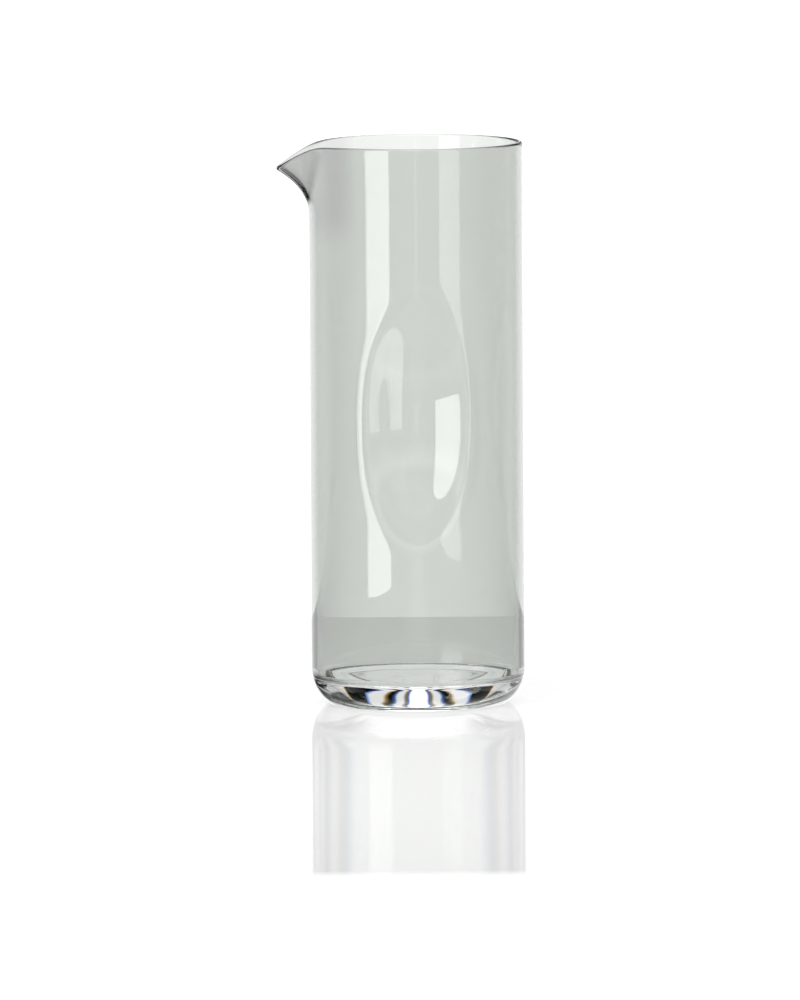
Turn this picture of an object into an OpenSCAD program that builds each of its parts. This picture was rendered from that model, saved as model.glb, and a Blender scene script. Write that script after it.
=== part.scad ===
// Tall blown-glass cocktail pitcher. A smoke-tinted body with a pulled pouring spout and two pressed
// grip dimples is fused onto a thick base of clear glass.
// Millimetres, Z up. The origin is the middle of the foot, on the axis of the straight wall.
// The spout points to -X, and the dimples face -Y and +Y.

/* [Body] */
// Outside diameter of the straight wall
body_d = 90; // [80:1:104]
// Height from the table to the level part of the rim
body_h = 237; // [215:1:275]
// Thickness of the blown wall
wall = 2.2; // [1.6:0.1:3]

/* [Clear base] */
// Thickness of the clear glass under the drink
floor_t = 10.2; // [7:0.2:13]
// Radius of the corner between the inside wall and the floor
floor_fillet = 3; // [2.5:0.5:6]
// Height above the floor where the tinted wall begins
seam_rise = 1; // [0.5:0.1:2]
// Diameter of the flat foot
foot_d = 74.4; // [68:0.2:80]
// Height of the rounded heel outside
heel_h = 16; // [13:0.5:22]
// Depth below the table where the heel's curve, if it went on, would lie level
heel_under = 2; // [1:0.1:4]
// Diameter of the shallow hollow in the underside
kick_d = 40; // [24:1:48]
// Depth of that hollow
kick_depth = 0.8; // [0.4:0.1:2]

/* [Grip dimples] */
// Depth of each dimple below the straight wall
dimple_depth = 12.5; // [9:0.5:15]
// Height of the dimples' middle above the table
dimple_z = 120.5; // [110:0.5:130]
// Height of a dimple, measured on the wall
dimple_h = 86; // [74:1:98]
// Radius of a dimple's hollow across its width
dimple_r = 29; // [25:1:36]
// Softness of a dimple's rounded edge
dimple_edge = 7.5; // [5:0.5:9]

/* [Spout] */
// Reach of the spout's tip beyond the straight wall
spout_reach = 13; // [9:0.2:17]
// Drop of the spout's tip below the level rim
spout_drop = 10.7; // [6:0.1:13]
// Height of the wall that flares into the spout
spout_h = 32; // [26:1:40]
// Width of the pulled channel, where its sides are steepest
spout_w = 16.5; // [12:0.5:20]
// Width of the soft swelling around the channel
spout_skirt_w = 40; // [30:1:50]

/* [Hidden] */

// Turns from the spout where the facets change size, and how many facets lie in each stretch
facet_turns = [0, 30, 55, 125, 180];
facet_counts = [12, 4, 20, 7];
// Facets along the base's curves and the body's, and halvings when the dimples are worked out
base_steps = 12;
heel_steps = 3;
corner_steps = 4;
dimple_steps = 16;
spout_steps = 9;
lip_steps = 4;
press_steps = 24;
// How flat the pressing form is along its height, where 2 is an even egg
press_power = 2.3;
// How sharply the flare turns outwards, and how much of the pull is in the soft swelling
flare_power = 2.5;
spout_skirt_share = 0.12;
// Small steps for measuring slopes: degrees round the wall and a share of its thickness
probe_turn = 0.1;
probe_share = 0.05;
round_fn = 96;

body_r = body_d / 2;
inside_r = body_r - wall;
// Height of the level ring where the tinted wall is fused to the clear base
seam_z = floor_t + seam_rise;
heel_top = max(heel_h, seam_z + wall);
heel_drop = heel_h + heel_under;
heel_reach = (body_r - foot_d / 2) / (1 - sqrt(1 - (heel_h / heel_drop) ^ 2));
corner_seam = asin(seam_rise / floor_fillet - 1);
kick_r = ((kick_d / 2) ^ 2 + kick_depth ^ 2) / (2 * kick_depth);

// The dimples are as if pressed by an egg-shaped form, standing outside the wall
press_centre = body_r - dimple_depth + dimple_r;
press_clear_share = (press_centre - body_r) / dimple_r;
press_half_h = dimple_h / 2 / (1 - press_clear_share ^ 2) ^ (1 / press_power);
press_reach = press_half_h
    * ((1 + dimple_edge / dimple_r) ^ 2 - press_clear_share ^ 2) ^ (1 / press_power);

flare_z = body_h - spout_h;
lip_z = body_h - wall / 2;
probe_rise = wall * probe_share;

// Radius outside at a height: part of an ellipse up the heel, then the straight wall
function heel_r(z) = body_r - heel_reach * (1 - sqrt(1 - (max(heel_h - z, 0) / heel_drop) ^ 2));

// Radius and height on the inside corner, from 0 at the wall to -90 at the floor
function corner_point(bend) = [
    inside_r - floor_fillet * (1 - cos(bend)),
    floor_t + floor_fillet * (1 + sin(bend))];

// How far a point lies inside the pressing form, at an angle from the dimple's middle
function press_gap(r, turn, z) = dimple_r * (1 - sqrt(
    ((press_centre - r * cos(turn)) ^ 2 + (r * sin(turn)) ^ 2) / dimple_r ^ 2
    + abs((z - dimple_z) / press_half_h) ^ press_power));

// The larger of two numbers, rounded over where they are close
function soft_max(p, q, soft) = max(p, q) + max(soft - abs(p - q), 0) ^ 2 / (4 * soft);

// Radius at which the softened skin of wall and press is met, found by halving
function pressed_r(turn, z, low, high, steps) = let (middle = (low + high) / 2)
    steps == 0 ? middle
    : soft_max(middle - body_r, press_gap(middle, turn, z), dimple_edge) > 0
        ? pressed_r(turn, z, low, middle, steps - 1)
        : pressed_r(turn, z, middle, high, steps - 1);

// Outside radius with the dimples; a turn is counted from the spout, so they are at 90 each way
function wall_r(turn, z) = abs(z - dimple_z) < press_reach
    ? pressed_r(abs(turn) - 90, z, body_r - dimple_depth - dimple_edge, body_r, press_steps)
    : body_r;

// Share of the spout's pull that reaches a turn away from it
function bell(turn, width) = exp(-(turn / asin(width / body_d)) ^ 2 / 2);
function pull_share(turn) = (1 - spout_skirt_share) * bell(turn, spout_w)
    + spout_skirt_share * bell(turn, spout_skirt_w);

// A point of the outside skin: a turn from the spout, and a level that is a height before the pull
function outside(turn, level) = let (
        flare_share = max(level - flare_z, 0) / (lip_z - flare_z),
        pull = pull_share(turn),
        r = wall_r(turn, level) + spout_reach * pull * flare_share ^ flare_power)
    [-r * cos(turn), -r * sin(turn), level - spout_drop * pull * flare_share];

// Directions on the skin: up along it, and square to it
function rising(turn, level) = let (
        step = outside(turn, level + probe_rise) - outside(turn, level - probe_rise))
    step / norm(step);
function outward(turn, level) = let (
        step = outside(turn + probe_turn, level) - outside(turn - probe_turn, level),
        square = cross(step, rising(turn, level)))
    square / norm(square);

// Turns of the facets, from the spout round one side and back up the other
half_turns = [for (j = [0 : len(facet_counts) - 1], i = [0 : facet_counts[j] - 1])
    facet_turns[j] + (facet_turns[j + 1] - facet_turns[j]) * i / facet_counts[j]];
turns = concat(half_turns, [180], [for (i = [len(half_turns) - 1 : -1 : 1]) -half_turns[i]]);

function round_ring(r, z) = [for (turn = turns) [-r * cos(turn), -r * sin(turn), z]];
function outside_ring(level) = [for (turn = turns) outside(turn, level)];
function inside_ring(level) = [for (turn = turns) outside(turn, level) - wall * outward(turn, level)];
function lip_ring(bend) = [for (turn = turns) let (square = outward(turn, lip_z))
    outside(turn, lip_z) - wall / 2 * square
    + wall / 2 * (cos(bend) * square + sin(bend) * rising(turn, lip_z))];

wall_levels = concat(
    [for (i = [0 : dimple_steps]) let (level = dimple_z + press_reach * (2 * i / dimple_steps - 1))
        if (level > heel_top && level < flare_z) level],
    [for (i = [0 : spout_steps]) flare_z + (lip_z - flare_z) * i / spout_steps]);

// Up the heel and the outside, over the lip, down the inside and round its corner
body_rings = concat(
    [for (i = [0 : heel_steps]) let (z = seam_z + (heel_top - seam_z) * i / heel_steps)
        round_ring(heel_r(z), z)],
    [for (level = wall_levels) outside_ring(level)],
    [for (i = [1 : lip_steps - 1]) lip_ring(180 * i / lip_steps)],
    [for (i = [len(wall_levels) - 1 : -1 : 0]) inside_ring(wall_levels[i])],
    [for (i = [0 : corner_steps]) let (point = corner_point(corner_seam * i / corner_steps))
        round_ring(point[0], point[1])]);

// Half section of the clear base: foot, heel, seam, inside corner and floor
base_section = concat(
    [[0, 0]],
    [for (i = [0 : base_steps]) let (z = seam_z * i / base_steps) [heel_r(z), z]],
    [for (i = [0 : base_steps]) corner_point(corner_seam + (-90 - corner_seam) * i / base_steps)],
    [[0, floor_t]]);

// A skin over rings that run round a wall, with the last ring joined to the first
module looped_skin(rings) {
    n = len(rings[0]);
    count = len(rings);
    points = [for (one = rings) each one];
    faces = [for (j = [0 : count - 1], i = [0 : n - 1])
        let (row = j * n, next_row = (j + 1) % count * n, next_i = (i + 1) % n)
        each [
            [row + i, next_row + i, next_row + next_i],
            [row + i, next_row + next_i, row + next_i]
        ]];
    polyhedron(points, faces);
}

// Smoke-tinted blown body: upper heel, straight wall, grip dimples, pulled spout and rounded lip
module tinted_body() {
    color([0.66, 0.69, 0.66, 0.6]) looped_skin(body_rings);
}

// Thick clear base with a rounded heel, a rounded inside corner and a shallow hollow in its foot
module clear_base() {
    color([0.9, 0.93, 0.92, 0.4]) difference() {
        rotate_extrude($fn = round_fn) polygon(base_section);
        translate([0, 0, kick_depth - kick_r]) sphere(kick_r, $fn = round_fn);
    }
}

tinted_body();
clear_base();
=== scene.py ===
# %% [markdown]
# A tall cocktail pitcher of blown glass stands on a white table: a smoke-tinted wall with a pulled
# spout and two pressed grip dimples, fused onto a thick base of clear glass.
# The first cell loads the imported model. It gives the shared frame, in metres, with Z up, the origin
# at the middle of the foot, the spout towards -X and one dimple facing the camera on -Y.

# %% Load the shared frame
import math
import bmesh
import bpy
import numpy as np
from mathutils import Matrix, Vector


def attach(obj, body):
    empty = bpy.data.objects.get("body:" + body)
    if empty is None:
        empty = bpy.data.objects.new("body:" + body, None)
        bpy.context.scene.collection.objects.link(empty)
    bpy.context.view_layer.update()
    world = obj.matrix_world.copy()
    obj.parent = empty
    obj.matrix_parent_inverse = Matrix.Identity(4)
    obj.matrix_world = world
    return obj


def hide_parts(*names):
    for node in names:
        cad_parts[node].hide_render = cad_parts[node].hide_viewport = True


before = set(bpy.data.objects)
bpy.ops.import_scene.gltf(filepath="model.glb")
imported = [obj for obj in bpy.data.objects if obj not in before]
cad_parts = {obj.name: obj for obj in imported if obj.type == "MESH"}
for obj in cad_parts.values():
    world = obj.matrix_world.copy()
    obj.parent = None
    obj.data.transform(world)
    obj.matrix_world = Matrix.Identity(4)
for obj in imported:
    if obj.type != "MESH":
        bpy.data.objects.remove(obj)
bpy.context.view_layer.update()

# %% [markdown]
# Sizes of the glass. They are the sizes of the construction model in metres, so that the smooth
# meshes made here lie where its solids lie. Named values at the top make each later step readable.

# %% Sizes of the glass
BODY_R = 0.045
BODY_H = 0.237
WALL = 0.0022
FLOOR_T = 0.0102
FLOOR_FILLET = 0.003
FOOT_R = 0.0372
HEEL_H = 0.016
HEEL_UNDER = 0.002
KICK_R = 0.020
KICK_DEPTH = 0.0008
SEAM_RISE = 0.001
SEAM_Z = FLOOR_T + SEAM_RISE
LIP_Z = BODY_H - WALL / 2
print(f"wall {WALL * 1000:.1f} mm, seam at {SEAM_Z * 1000:.1f} mm")

# %% [markdown]
# Dimples and spout. A glassblower starts from a straight tube, presses the dimples into the soft
# wall with a rounded form, and pulls the spout from the rim with a rod. The next cells do the same
# to a straight tube. First come the sizes of the form, which is egg-shaped and stands outside the
# wall, and of the pull, which has a narrow channel and a soft swelling round it, the skirt.

# %% Sizes of the dimples and the spout
DIMPLE_DEPTH = 0.0125
DIMPLE_Z = 0.1205
DIMPLE_H = 0.086
DIMPLE_R = 0.029
DIMPLE_EDGE = 0.0075
# How flat the form is along its height, where 2 is an even egg
PRESS_POWER = 2.3
SPOUT_REACH = 0.0130
SPOUT_DROP = 0.0107
SPOUT_H = 0.032
SPOUT_W = 0.0165
SPOUT_SKIRT_W = 0.040
SKIRT_SHARE = 0.12
# How sharply the flare turns outwards
FLARE_POWER = 2.5

PRESS_CENTRE = BODY_R - DIMPLE_DEPTH + DIMPLE_R
PRESS_HALF_H = DIMPLE_H / 2 / (1 - ((PRESS_CENTRE - BODY_R) / DIMPLE_R) ** 2) ** (1 / PRESS_POWER)
FLARE_Z = BODY_H - SPOUT_H
print(f"dimples press {DIMPLE_DEPTH * 1000:.1f} mm deep, the spout reaches {SPOUT_REACH * 1000:.1f} mm")

# %% [markdown]
# The skin. Each point of the tube's outside is given as a turn from the spout and a level, and comes
# back where the pressed and pulled glass puts it. Sculpting would give such forms too, but a formula
# keeps both dimples alike and the mesh where the construction model is. Arrays carry all points.

# %% The pressed and pulled skin of the body
HALVINGS = 24
TINY = 1e-9
PROBE_TURN = 0.002
PROBE_RISE = 0.0001


def soft_max(p, q, soft):
    """The larger of two values, rounded over where they are close."""
    return np.maximum(p, q) + np.maximum(soft - np.abs(p - q), 0) ** 2 / (4 * soft)


def press_gap(r, turn, z):
    """How far a point lies inside the egg-shaped form that presses a dimple."""
    across = (PRESS_CENTRE - r * np.cos(turn)) ** 2 + (r * np.sin(turn)) ** 2
    along = np.abs((z - DIMPLE_Z) / PRESS_HALF_H) ** PRESS_POWER
    return DIMPLE_R * (1 - np.sqrt(across / DIMPLE_R ** 2 + along))


def pressed_radius(turn, z):
    """The radius at which the softened skin of wall and form is met, found by halving."""
    from_dimple = np.abs(turn) - math.pi / 2
    low = np.full_like(z, BODY_R - DIMPLE_DEPTH - DIMPLE_EDGE)
    high = np.full_like(z, BODY_R)
    for _ in range(HALVINGS):
        middle = (low + high) / 2
        outside_skin = soft_max(middle - BODY_R, press_gap(middle, from_dimple, z), DIMPLE_EDGE) > 0
        high = np.where(outside_skin, middle, high)
        low = np.where(outside_skin, low, middle)
    return np.where(high > BODY_R - TINY, BODY_R, (low + high) / 2)


def bell(turn, width):
    """Share of the pull that reaches a turn away from the spout."""
    return np.exp(-(turn / math.asin(width / (2 * BODY_R))) ** 2 / 2)


def outside(turn, level):
    """Points of the outside skin, at turns from the spout and at levels before the pull."""
    pull = (1 - SKIRT_SHARE) * bell(turn, SPOUT_W) + SKIRT_SHARE * bell(turn, SPOUT_SKIRT_W)
    flare = np.maximum(level - FLARE_Z, 0) / (LIP_Z - FLARE_Z)
    r = pressed_radius(turn, level) + SPOUT_REACH * pull * flare ** FLARE_POWER
    return np.stack([-r * np.cos(turn), -r * np.sin(turn), level - SPOUT_DROP * pull * flare], axis=1)


def unit(v):
    return v / np.linalg.norm(v, axis=1, keepdims=True)


def skin_directions(turn, level):
    """Directions up along the skin and square to it, from small steps each way."""
    rising = unit(outside(turn, level + PROBE_RISE) - outside(turn, level - PROBE_RISE))
    along = outside(turn + PROBE_TURN, level) - outside(turn - PROBE_TURN, level)
    return rising, unit(np.cross(along, rising))


spout_tip = outside(np.zeros(1), np.full(1, LIP_Z))[0]
print("the spout's tip is at", [round(float(v), 4) for v in spout_tip])

# %% [markdown]
# Turned pieces. Wall and base both start as a section: points in the XZ plane, joined by edges, that
# the spin operator turns round Z. Merging the doubles afterwards closes the points on the axis, and
# recalculating the normals makes all faces point outwards.

# %% Helpers for turned pieces
MERGE_DISTANCE = 1e-6


def arc(centre, size, start, end, segments):
    """Points of an elliptical arc in the section, between two angles in radians."""
    angles = [start + (end - start) * i / segments for i in range(segments + 1)]
    return [(centre[0] + size[0] * math.cos(a), centre[1] + size[1] * math.sin(a)) for a in angles]


def section_edges(bm, points, closed):
    """Vertices at radii and heights, joined in a row or in a loop."""
    verts = [bm.verts.new((r, 0, z)) for r, z in points]
    pairs = list(zip(verts, verts[1:] + verts[:1]))
    for pair in (pairs if closed else pairs[:-1]):
        bm.edges.new(pair)


def spin_round(bm, steps):
    bmesh.ops.spin(bm, geom=bm.verts[:] + bm.edges[:], cent=(0, 0, 0), axis=(0, 0, 1),
                   angle=2 * math.pi, steps=steps, use_merge=True)


def finished_object(name, bm):
    """A smooth-shaded object at the origin, made from a bmesh that is then freed."""
    bmesh.ops.remove_doubles(bm, verts=bm.verts, dist=MERGE_DISTANCE)
    bmesh.ops.recalc_face_normals(bm, faces=bm.faces)
    for face in bm.faces:
        face.smooth = True
    mesh = bpy.data.meshes.new(name)
    bm.to_mesh(mesh)
    bm.free()
    piece = bpy.data.objects.new(name, mesh)
    bpy.context.collection.objects.link(piece)
    print(name, len(mesh.vertices), "vertices,", len(mesh.polygons), "faces")
    return piece


# %% [markdown]
# Heel and inside corner. The heel outside is part of an ellipse that would lie level a little below
# the table, and the corner inside is part of a circle. The seam cuts both curves: above it they
# belong to the wall, and below it to the base. Each curve is a centre and two half axes.

# %% Curves of the heel and the inside corner
heel_drop = HEEL_H + HEEL_UNDER
heel_reach = (BODY_R - FOOT_R) / (1 - math.sqrt(1 - (HEEL_H / heel_drop) ** 2))
heel = ((BODY_R - heel_reach, HEEL_H), (heel_reach, heel_drop))
heel_foot = -math.asin(HEEL_H / heel_drop)
heel_seam = math.asin((SEAM_Z - HEEL_H) / heel_drop)
fillet = ((BODY_R - WALL - FLOOR_FILLET, FLOOR_T + FLOOR_FILLET), (FLOOR_FILLET, FLOOR_FILLET))
fillet_seam = math.asin((SEAM_Z - FLOOR_T - FLOOR_FILLET) / FLOOR_FILLET)
print(f"the heel's ellipse is {heel_reach * 1000:.1f} by {heel_drop * 1000:.1f} mm")

# %% [markdown]
# The straight tube. The section of the wall is a loop: up round the heel and the outside, over the
# rim, down the inside and round the corner towards the floor. Bevelling the two points of the rim by
# half the wall gives the fire-polished lip, and subdividing the long edges gives the rows that the
# dimples need. A cylinder with a Solidify modifier would also do, but its lip and its heel would
# need rounding afterwards. The wall dips a hair into the base, so that no gap shows at the seam.

# %% Section of the wall
TUBE_ROWS = 104
LIP_SEGMENTS = 14
CORNER_SEGMENTS = 10
SEAM_OVERLAP = 0.00003

section = arc(*heel, heel_seam, 0, CORNER_SEGMENTS)
section += [(BODY_R, BODY_H), (BODY_R - WALL, BODY_H)]
section += arc(*fillet, 0, fillet_seam, CORNER_SEGMENTS)
for end in (0, -1):
    section[end] = (section[end][0], SEAM_Z - SEAM_OVERLAP)

bm = bmesh.new()
section_edges(bm, section, closed=True)
rim = [v for v in bm.verts if v.co.z > LIP_Z]
bmesh.ops.bevel(bm, geom=rim, affect="VERTICES", offset=WALL / 2, offset_type="OFFSET",
                segments=LIP_SEGMENTS, profile=0.5, material=-1)
bmesh.ops.remove_doubles(bm, verts=bm.verts, dist=MERGE_DISTANCE)
long_edges = [e for e in bm.edges if e.calc_length() > BODY_H / 2]
bmesh.ops.subdivide_edges(bm, edges=long_edges, cuts=TUBE_ROWS)
print("section of the wall with", len(bm.verts), "points")

# %% [markdown]
# Press and pull. The section is spun, and then each vertex moves to its place on the shaped skin. Its
# depth in the wall is kept square to the skin, so the wall stays even in the dimples, and the lip
# follows the spout. The turns are crowded towards the spout, where the skin bends most.

# %% Spin the tube, then press and pull it
TUBE_STEPS = 320
SPOUT_CROWDING = 0.35

spin_round(bm, TUBE_STEPS)
straight = np.array([v.co for v in bm.verts])
even_turn = np.arctan2(-straight[:, 1], -straight[:, 0])
turn = even_turn - SPOUT_CROWDING * np.sin(even_turn)
depth = BODY_R - np.hypot(straight[:, 0], straight[:, 1])
level = np.minimum(straight[:, 2], LIP_Z)
rise = straight[:, 2] - level
rising, square = skin_directions(turn, level)
shaped = outside(turn, level) - depth[:, None] * square + rise[:, None] * rising
for vert, place in zip(bm.verts, shaped):
    vert.co = place
smoke_body = finished_object("smoke_glass_body", bm)

# %% [markdown]
# The clear base. Its half section runs from the axis over the shallow hollow of the foot, round the
# heel to the level ring that carries the wall, and down the corner to the floor. A hand-turned heel
# is never quite true: a faint ripple, far too small to see by itself, bends the light in the base.

# %% Spin the clear base
BASE_STEPS = 240
HEEL_SEGMENTS = 60
FILLET_SEGMENTS = 16
KICK_CUTS = 14
RIPPLE = 0.00006
RIPPLE_LENGTH = 0.010
RIPPLE_START = math.radians(150)
RIPPLE_FADE = 0.002


def kick_point(share):
    """A point of the hollow in the foot, at a share of the way out from the axis."""
    return KICK_R * share, KICK_DEPTH * (1 - share ** 2)


def waved(r, z):
    """A point of the heel with its ripple, which fades out at the seam."""
    wave = math.sin(2 * math.pi * z / RIPPLE_LENGTH + RIPPLE_START)
    return r + RIPPLE * wave * min(1, (SEAM_Z - z) / RIPPLE_FADE), z


section = [kick_point(i / KICK_CUTS) for i in range(KICK_CUTS + 1)]
section += [waved(r, z) for r, z in arc(*heel, heel_foot, heel_seam, HEEL_SEGMENTS)]
section += arc(*fillet, fillet_seam, -math.pi / 2, FILLET_SEGMENTS) + [(0, FLOOR_T)]
bm = bmesh.new()
section_edges(bm, section, closed=False)
spin_round(bm, BASE_STEPS)
clear_base = finished_object("clear_glass_base", bm)

# %% [markdown]
# Node trees. The finishes, the table and the room are all made of a few kinds of nodes, so each kind
# gets a helper that adds a node to a tree, feeds it with numbers or with other nodes' sockets, and
# gives back its result.

# %% Helpers for node trees
WHITE = (1, 1, 1)
# The Mix node has sockets for numbers, vectors and colours; these are its colour ones
MIX_FIRST = 6
MIX_SECOND = 7
MIX_RESULT = 2


def feed(tree, socket, value):
    if isinstance(value, bpy.types.NodeSocket):
        tree.links.new(value, socket)
    else:
        socket.default_value = value


def axes_of(tree, coordinates):
    """X, Y and Z of a kind of texture coordinates."""
    place = tree.nodes.new("ShaderNodeTexCoord")
    parts = tree.nodes.new("ShaderNodeSeparateXYZ")
    tree.links.new(place.outputs[coordinates], parts.inputs[0])
    return parts.outputs


def math_node(tree, operation, *values):
    node = tree.nodes.new("ShaderNodeMath")
    node.operation = operation
    for socket, value in zip(node.inputs, values):
        feed(tree, socket, value)
    return node.outputs[0]


def share_between(tree, value, none, full, interpolation="LINEAR"):
    """0 where a value is at or past one end of a stretch, and 1 at or past the other."""
    node = tree.nodes.new("ShaderNodeMapRange")
    node.interpolation_type = interpolation
    node.inputs["From Min"].default_value = none
    node.inputs["From Max"].default_value = full
    feed(tree, node.inputs["Value"], value)
    return node.outputs["Result"]


def colour_node(tree, operation, first, second, share=1.0):
    node = tree.nodes.new("ShaderNodeMix")
    node.data_type = "RGBA"
    node.blend_type = operation
    feed(tree, node.inputs["Factor"], share)
    feed(tree, node.inputs[MIX_FIRST], first)
    feed(tree, node.inputs[MIX_SECOND], second)
    return node.outputs[MIX_RESULT]


print("helpers for node trees are ready")

# %% [markdown]
# Glass. The Principled shader at full transmission gives the gloss and the bending of light. The
# smoke tint lies mostly in the surface colour, which light meets each time it passes in or out of
# the glass, with a weak absorption on its way inside. Absorption alone would be nearer to real
# glass, but the long paths of light round the lip would then go black. A faint cloud makes tint and
# polish a little uneven, as in blown glass. Round the spout a painted shade darkens the colour.

# %% Smoke-tinted and clear glass
GLASS_IOR = 1.5
CLOUD_SCALE = 30
CLOUD_DETAIL = 2
CLOUD_SHADE = 0.985
CLOUD_ROUGHNESS = 0.012
SMOKE_TINT = (0.777, 0.795, 0.774)
SMOKE_COLOR = (0.162, 0.2155, 0.159)
SMOKE_DENSITY = 33.6
CLEAR_TINT = (0.99, 1, 0.995)
# Where the painted shade round the spout begins and is full, across and up, and what it takes from the
# colour
PAINTED_SHADE_ACROSS = (-0.0235, -0.034)
PAINTED_SHADE_UP = (0.191, 0.206)
PAINTED_SPOUT_SHADE = (0.939, 0.925, 0.945)


def glass_finish(name, tint):
    """Polished glass of a tint, a little uneven in colour and polish."""
    material = bpy.data.materials.new(name)
    material.use_nodes = True
    tree = material.node_tree
    shader = tree.nodes["Principled BSDF"]
    shader.inputs["Transmission Weight"].default_value = 1.0
    shader.inputs["IOR"].default_value = GLASS_IOR
    place = tree.nodes.new("ShaderNodeTexCoord")
    cloud = tree.nodes.new("ShaderNodeTexNoise")
    cloud.inputs["Scale"].default_value = CLOUD_SCALE
    cloud.inputs["Detail"].default_value = CLOUD_DETAIL
    tree.links.new(place.outputs["Object"], cloud.inputs["Vector"])
    shade = tree.nodes.new("ShaderNodeValToRGB")
    shade.color_ramp.elements[0].color = (*[c * CLOUD_SHADE for c in tint], 1)
    shade.color_ramp.elements[1].color = (*tint, 1)
    tree.links.new(cloud.outputs["Fac"], shade.inputs["Fac"])
    tree.links.new(shade.outputs["Color"], shader.inputs["Base Color"])
    roughness = math_node(tree, "MULTIPLY", cloud.outputs["Fac"], CLOUD_ROUGHNESS)
    tree.links.new(roughness, shader.inputs["Roughness"])
    print("finish", name)
    return material


def absorb(material, color, density):
    """Lets the glass take some light on its way inside."""
    tree = material.node_tree
    smoke = tree.nodes.new("ShaderNodeVolumeAbsorption")
    smoke.inputs["Color"].default_value = (*color, 1)
    smoke.inputs["Density"].default_value = density
    tree.links.new(smoke.outputs["Volume"], tree.nodes["Material Output"].inputs["Volume"])


def paint_spout_shade(material, share):
    """Darkens the colour round the spout with painted shade."""
    tree = material.node_tree
    base = tree.nodes["Principled BSDF"].inputs["Base Color"]
    parts = axes_of(tree, "Object")
    # Painted shade: the colour is darker near the spout, towards -X and near the top
    painted_shade_share = math_node(tree, "MULTIPLY",
                           share_between(tree, parts["X"], *PAINTED_SHADE_ACROSS, "SMOOTHSTEP"),
                           share_between(tree, parts["Z"], *PAINTED_SHADE_UP, "SMOOTHSTEP"))
    even = base.links[0].from_socket
    tree.links.new(colour_node(tree, "MULTIPLY", even, (*share, 1), painted_shade_share), base)


smoke_glass = glass_finish("smoke_glass", SMOKE_TINT)
absorb(smoke_glass, SMOKE_COLOR, SMOKE_DENSITY)
# Painted shade round the spout
paint_spout_shade(smoke_glass, PAINTED_SPOUT_SHADE)
clear_glass = glass_finish("clear_glass", CLEAR_TINT)

# %% [markdown]
# Each new piece takes the place of a construction node: it rides on the only body, hides the node
# and is given its finish.

# %% Put the pieces in the frame
for piece, node, finish, slot in ((smoke_body, "tinted_body", smoke_glass, "smoke_glass"),
                                  (clear_base, "clear_base", clear_glass, "clear_glass")):
    piece.data.materials.append(finish)
    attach(piece, "root")
    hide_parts(node)
    print(piece.name, "stands for", node)

# %% [markdown]
# The table. It is a pale board that ends about 0.3 m behind the pitcher, so its far edge shows
# through the lower wall as a level line. It isn't seen in reflections, where the room shows instead.

# %% Table
TABLE_BACK = 0.336
TABLE_FRONT = -7
TABLE_HALF_WIDTH = 2.0

bm = bmesh.new()
bmesh.ops.create_grid(bm, x_segments=1, y_segments=1, size=0.5)
bmesh.ops.scale(bm, vec=(2 * TABLE_HALF_WIDTH, TABLE_BACK - TABLE_FRONT, 1), verts=bm.verts)
bmesh.ops.translate(bm, vec=(0, (TABLE_BACK + TABLE_FRONT) / 2, 0), verts=bm.verts)
table = finished_object("table", bm)
table.visible_glossy = False

# %% [markdown]
# Finish of the table. A glow of its own keeps the board white. Only a strip of it under and in front
# of the pitcher is polished, so the mirrored pitcher is cut off where the strip ends. Light that has
# been reflected in the glass finds the board unlit at the sides, as if dark flags lay there. Without
# that, the lower edges of the glass would be too light.

# %% Finish of the table
BOARD_COLOR = (0.3, 0.3, 0.3)
BOARD_GLOW = 0.74
BOARD_ROUGHNESS = 0.7
BOARD_SHINE = 0.36
SHINE_ROUGHNESS = 0.06
# Where the strip's polish is none and where it is full: in front, behind and to each side
STRIP_FRONT = (-0.597, -0.578)
STRIP_BACK = (0.08, 0)
STRIP_SIDE = (0.12, 0.08)
# Where the board begins to be unlit for reflected light, to each side, and where it is wholly so
UNLIT_SIDE = (0.05, 0.08)

board = bpy.data.materials.new("white_board")
board.use_nodes = True
tree = board.node_tree
parts = axes_of(tree, "Object")
sideways = math_node(tree, "ABSOLUTE", parts["X"])
strip = math_node(tree, "MULTIPLY", share_between(tree, parts["Y"], *STRIP_FRONT),
                  share_between(tree, parts["Y"], *STRIP_BACK))
strip = math_node(tree, "MULTIPLY", strip, share_between(tree, sideways, *STRIP_SIDE))
light_path = tree.nodes.new("ShaderNodeLightPath")
reflected = math_node(tree, "MINIMUM", light_path.outputs["Glossy Depth"], 1)
unlit = math_node(tree, "MULTIPLY", reflected, share_between(tree, sideways, *UNLIT_SIDE))
glow = math_node(tree, "MULTIPLY", math_node(tree, "SUBTRACT", 1, unlit), BOARD_GLOW)

matt = tree.nodes["Principled BSDF"]
matt.inputs["Base Color"].default_value = (*BOARD_COLOR, 1)
matt.inputs["Roughness"].default_value = BOARD_ROUGHNESS
matt.inputs["Specular IOR Level"].default_value = 0
matt.inputs["Emission Color"].default_value = (*WHITE, 1)
tree.links.new(glow, matt.inputs["Emission Strength"])
shine = tree.nodes.new("ShaderNodeBsdfGlossy")
shine.inputs["Roughness"].default_value = SHINE_ROUGHNESS
blend = tree.nodes.new("ShaderNodeMixShader")
for socket, source in zip(blend.inputs, (math_node(tree, "MULTIPLY", strip, BOARD_SHINE),
                                         matt.outputs[0], shine.outputs[0])):
    tree.links.new(source, socket)
tree.links.new(blend.outputs[0], tree.nodes["Material Output"].inputs["Surface"])
table.data.materials.append(board)
print("finish", board.name)

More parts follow.
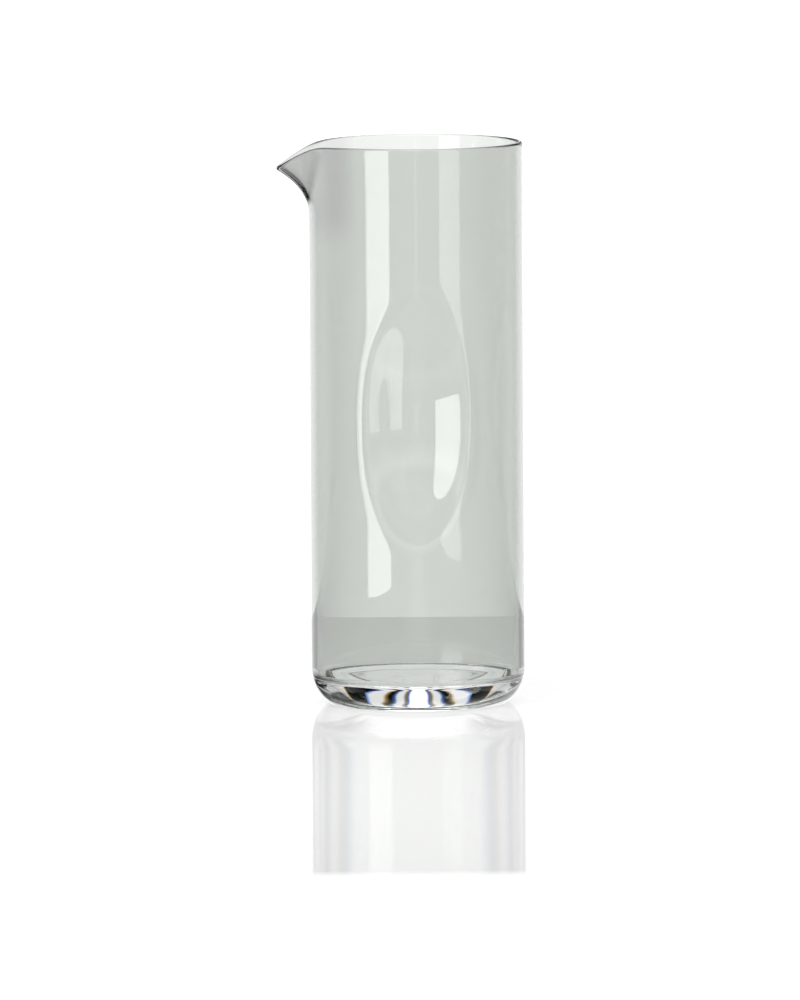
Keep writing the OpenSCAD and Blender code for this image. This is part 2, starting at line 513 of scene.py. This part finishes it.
# %% [markdown]
# The room. Glass shows what stands around it, so the room matters more than the lamps. It is white
# behind the pitcher and darker to the sides and in front, which draws the edges of the glass. Below
# eye level it is what the wall shows, and above it what the rim and the base show. Dark stands
# behind the pitcher make the black lines in the base, and the colours at their edges are those into
# which the thick glass splits the light. Angles are in degrees from straight behind the pitcher.

# %% What stands around the pitcher
ROOM_STRENGTH = 1.33
HALF_TURN = 180


def grey(share):
    return (share, share, share)


# Degrees, and the share of the room's light there
low_shares = [(0, 1), (1, 0.99), (1.6, 0.965), (2.8, 0.945), (4.5, 0.91), (9, 0.87), (11, 0.82),
              (20, 0.78), (60, 0.6), (74, 0.3), (95, 0.08), (180, 0.04)]
high_shares = [(0, 1), (20, 1), (38, 0.9), (48, 0.6), (56, 0.12), (95, 0.06), (180, 0.04)]
low_stops = [(degrees, grey(share)) for degrees, share in low_shares]
high_stops = [(degrees, grey(share)) for degrees, share in high_shares]

# The stands, each from and to so many degrees and with a coloured fringe so wide
stands = ((2.95, 3.45, 0.5), (6.5, 8.3, 0.9), (13.2, 20.6, 0.9))
BETWEEN = grey(0.62)
BLUE = (0.06, 0.2, 0.6)
AMBER = (0.7, 0.42, 0.1)
stand_stops = [(0, WHITE), (2.1, WHITE), (2.35, BETWEEN)]
for start, end, fringe in stands:
    stand_stops += [(start - fringe, BETWEEN), (start - fringe / 2, BLUE), (start, grey(0)),
                    (end, grey(0)), (end + fringe / 2, AMBER), (end + fringe, BETWEEN)]
print("room with", len(stands), "dark stands")

# %% [markdown]
# The room's node tree. The direction in which light comes is split into a swing from straight behind
# and a height, the sine of its rise. Walls, stands, ceiling, a light low in front and a dark floor
# on the spout's side are laid over one another. The dark floor gives the spout its dark underside,
# and the light in front gives the rim its light edge. The camera itself always sees white, so other
# views have a plain ground too. A picture of a studio would also do, but a few stops are easier to
# change.

# %% Room
EYE_LEVEL = 0.0
# The stands lean outwards: their angles hold at one height and grow above it, within a range
LEAN = 8.5
LEAN_LEVEL = 0.122
LEAN_RANGE = (0.08, 0.21)
# Stretches of height, or of swing or place across, over which a part of the room comes in
STANDS_END = (0.42, 0.5)
CEILING_RISE = (0.65, 0.85)
CEILING_LIGHT = 0.85
FRONT_SWING = (math.radians(52), math.radians(64))
FRONT_TOP = (0.3, 0.2)
FRONT_BOTTOM = (-0.02, 0.16)
FRONT_LIGHT = 0.6
DARK_FLOOR_TOP = (-0.2, -0.13)
DARK_FLOOR_SIDE = (-0.3, -0.1)

world = bpy.data.worlds.new("studio")
world.use_nodes = True
bpy.context.scene.world = world
tree = world.node_tree
tree.nodes.clear()


def ramp_node(swing, stops):
    """Colour by degrees from straight behind."""
    node = tree.nodes.new("ShaderNodeValToRGB")
    tree.links.new(math_node(tree, "DIVIDE", swing, math.pi), node.inputs["Fac"])
    ramp = node.color_ramp
    for number, (degrees, color) in enumerate(stops):
        position = degrees / HALF_TURN
        element = ramp.elements[number] if number < 2 else ramp.elements.new(position)
        element.position = position
        element.color = (*color, 1)
    return node.outputs["Color"]


parts = axes_of(tree, "Generated")
height = parts["Z"]
swing = math_node(tree, "ARCTAN2", math_node(tree, "ABSOLUTE", parts["X"]), parts["Y"])
below = math_node(tree, "LESS_THAN", height, EYE_LEVEL)
room = colour_node(tree, "MIX", ramp_node(swing, high_stops), ramp_node(swing, low_stops), below)

lean_height = math_node(tree, "MAXIMUM", height, LEAN_RANGE[0])
lean_height = math_node(tree, "MINIMUM", lean_height, LEAN_RANGE[1])
widening = math_node(tree, "MULTIPLY_ADD", lean_height, LEAN, 1 - LEAN * LEAN_LEVEL)
no_stand = math_node(tree, "MAXIMUM", below, share_between(tree, height, *STANDS_END))
leaning = ramp_node(math_node(tree, "DIVIDE", swing, widening), stand_stops)
room = colour_node(tree, "MULTIPLY", room, colour_node(tree, "MIX", leaning, (*WHITE, 1), no_stand))

ceiling = math_node(tree, "MULTIPLY", share_between(tree, height, *CEILING_RISE), CEILING_LIGHT)
room = colour_node(tree, "LIGHTEN", room, ceiling)
low_front = math_node(tree, "MULTIPLY", share_between(tree, swing, *FRONT_SWING),
                      share_between(tree, height, *FRONT_TOP))
low_front = math_node(tree, "MULTIPLY", low_front, share_between(tree, height, *FRONT_BOTTOM))
room = colour_node(tree, "LIGHTEN", room, math_node(tree, "MULTIPLY", low_front, FRONT_LIGHT))
lit_floor = math_node(tree, "MAXIMUM", share_between(tree, height, *DARK_FLOOR_TOP),
                      share_between(tree, parts["X"], *DARK_FLOOR_SIDE))
room = colour_node(tree, "MULTIPLY", room, lit_floor)

light_path = tree.nodes.new("ShaderNodeLightPath")
room = colour_node(tree, "MIX", room, (*WHITE, 1), light_path.outputs["Is Camera Ray"])
background = tree.nodes.new("ShaderNodeBackground")
background.inputs["Strength"].default_value = ROOM_STRENGTH
tree.links.new(room, background.inputs["Color"])
output = tree.nodes.new("ShaderNodeOutputWorld")
tree.links.new(background.outputs[0], output.inputs["Surface"])
print("room with", len(tree.nodes), "nodes")

# %% [markdown]
# Lamps. One upright softbox stands on the table to the left, near the camera's side. It makes both
# stripes, one in the near wall and one in the far wall, and the bright shape in the dimple. A weak
# square lamp overhead evens out the table.

# %% Lamps
SOFTBOX_NEAR_END = Vector((-0.257, -0.483, 0))
SOFTBOX_FAR_END = Vector((-0.402, -0.297, 0))
SOFTBOX_HEIGHT = 0.6
SOFTBOX_RADIANCE = 3.8
OVERHEAD_SIZE = 1.2
OVERHEAD_POWER = 8
OVERHEAD_PLACE = Vector((0, -0.4, 1.6))
UP = Vector((0, 0, 1))


def area_lamp(name, width, height, power):
    light = bpy.data.lights.new(name, "AREA")
    light.shape = "RECTANGLE"
    light.size = width
    light.size_y = height
    light.energy = power
    lamp = bpy.data.objects.new(name, light)
    lamp.visible_camera = False
    bpy.context.collection.objects.link(lamp)
    print(name, f"{width:.2f} x {height:.2f} m, {power:.2f} W")
    return lamp


softbox_width = (SOFTBOX_FAR_END - SOFTBOX_NEAR_END).length
softbox_power = SOFTBOX_RADIANCE * math.pi * softbox_width * SOFTBOX_HEIGHT
softbox = area_lamp("left_softbox", softbox_width, SOFTBOX_HEIGHT, softbox_power)
along = (SOFTBOX_FAR_END - SOFTBOX_NEAR_END).normalized()
back = UP.cross(along)
middle = (SOFTBOX_NEAR_END + SOFTBOX_FAR_END + SOFTBOX_HEIGHT * UP) / 2
softbox.matrix_world = Matrix.Translation(middle) @ Matrix((-along, UP, back)).transposed().to_4x4()

overhead = area_lamp("overhead", OVERHEAD_SIZE, OVERHEAD_SIZE, OVERHEAD_POWER)
overhead.location = OVERHEAD_PLACE

# %% [markdown]
# Camera. The photograph was taken from far away with a long lens, a little above the rim: the rim is
# seen at about 4.3 degrees and the floor of the inside at about 6.4, which gives the distance. The
# Standard view transform keeps white white. Light in glass needs many bounces before it gets out.

# %% Camera
CAMERA_DISTANCE = 6.2
CAMERA_HEIGHT = 0.70
AIM = Vector((-0.0073, 0, 0.0855))
LENS = 532
SENSOR_WIDTH = 36
CLIP_END = 100
ROLL = math.radians(0.34)
BOUNCES = 24
GLOSSY_BOUNCES = 16

camera_data = bpy.data.cameras.new("camera")
camera_data.sensor_width = SENSOR_WIDTH
camera_data.lens = LENS
camera_data.clip_end = CLIP_END
camera = bpy.data.objects.new("camera", camera_data)
camera.location = (AIM.x, -CAMERA_DISTANCE, CAMERA_HEIGHT)
look = (AIM - camera.location).to_track_quat("-Z", "Y").to_matrix().to_4x4()
camera.rotation_euler = (look @ Matrix.Rotation(-ROLL, 4, "Z")).to_euler()
bpy.context.collection.objects.link(camera)
bpy.context.scene.camera = camera
bpy.context.scene.view_settings.view_transform = "Standard"
bpy.context.scene.cycles.max_bounces = BOUNCES
bpy.context.scene.cycles.glossy_bounces = GLOSSY_BOUNCES
bpy.context.scene.cycles.transmission_bounces = BOUNCES
print("camera", f"{CAMERA_DISTANCE:.2f} m away, lens {LENS} mm")
